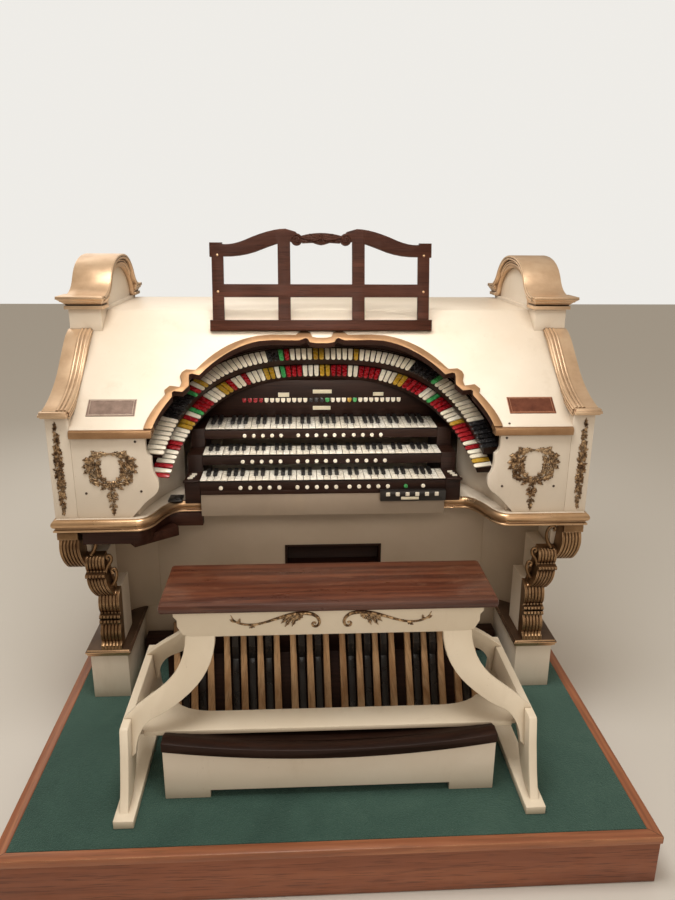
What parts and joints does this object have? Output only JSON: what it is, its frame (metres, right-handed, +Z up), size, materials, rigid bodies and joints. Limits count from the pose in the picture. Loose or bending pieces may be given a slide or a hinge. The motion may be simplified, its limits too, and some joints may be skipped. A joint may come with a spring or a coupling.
{
  "type": "theatre organ console",
  "caption": "Horseshoe theatre organ console with stacked keyboards, stop tabs, pedalboard and straddling bench on a carpeted platform.",
  "frame": {"origin": "on the floor under the middle of the platform", "axes": "+X to the player's right across the console, +Y away from the player towards the back of the case, +Z up"},
  "size_m": [1.828, 1.73, 1.7587],
  "materials": {
    "cream_paint": "satin",
    "gold_leaf": "satin",
    "dark_wood": "satin",
    "seat_wood": "gloss",
    "platform_wood": "satin",
    "carpet": "matte",
    "ivory": "gloss",
    "ebony": "satin",
    "red_tab": "gloss",
    "maple": "satin",
    "plaque": "satin",
    "black_box": "matte"
  },
  "bodies": {
    "root": {"platform_frame": "platform_wood", "platform_nosing": "platform_wood", "platform_carpet": "carpet", "case_back": "cream_paint", "lower_sides": "cream_paint", "knee_panel": "cream_paint", "curved_panels": "cream_paint", "slot_frame": "dark_wood", "apron_panel": "cream_paint", "key_desk": "cream_paint", "under_desk_box": "dark_wood", "desk_moulding_left": "gold_leaf", "desk_moulding_right": "gold_leaf", "pedestals": "cream_paint", "pedestal_caps": "gold_leaf", "bracket_left": "gold_leaf", "bracket_right": "gold_leaf", "wing_panel_left": "cream_paint", "wing_panel_right": "cream_paint", "inner_cheeks": "cream_paint", "cheek_left": "cream_paint", "cheek_right": "cream_paint", "slope_scroll_left": "gold_leaf", "slope_scroll_right": "gold_leaf", "crest_left": "gold_leaf", "crest_right": "gold_leaf", "sloped_lid": "cream_paint", "top_board": "cream_paint", "lid_moulding": "gold_leaf", "plaques": "plaque", "keyboard_frame": "dark_wood", "natural_keys": "ivory", "sharp_keys": "ebony", "pistons": "ivory", "control_box": "black_box", "recess_wall": "dark_wood", "stop_rail_outer": "dark_wood", "stop_rail_inner": "dark_wood", "stop_tabs_outer": "ivory", "stop_tabs_inner": "red_tab", "back_board": "dark_wood", "coupler_tabs": "ivory", "music_desk": "seat_wood", "pedal_heel_board": "cream_paint", "pedal_heel_rail": "dark_wood", "pedal_bearers": "dark_wood", "natural_pedals": "maple", "sharp_pedals": "ebony", "bench_seat": "seat_wood", "bench_apron": "cream_paint", "bench_legs": "cream_paint", "bench_feet": "cream_paint", "bench_footrest": "cream_paint"}
  },
  "joints": []
}
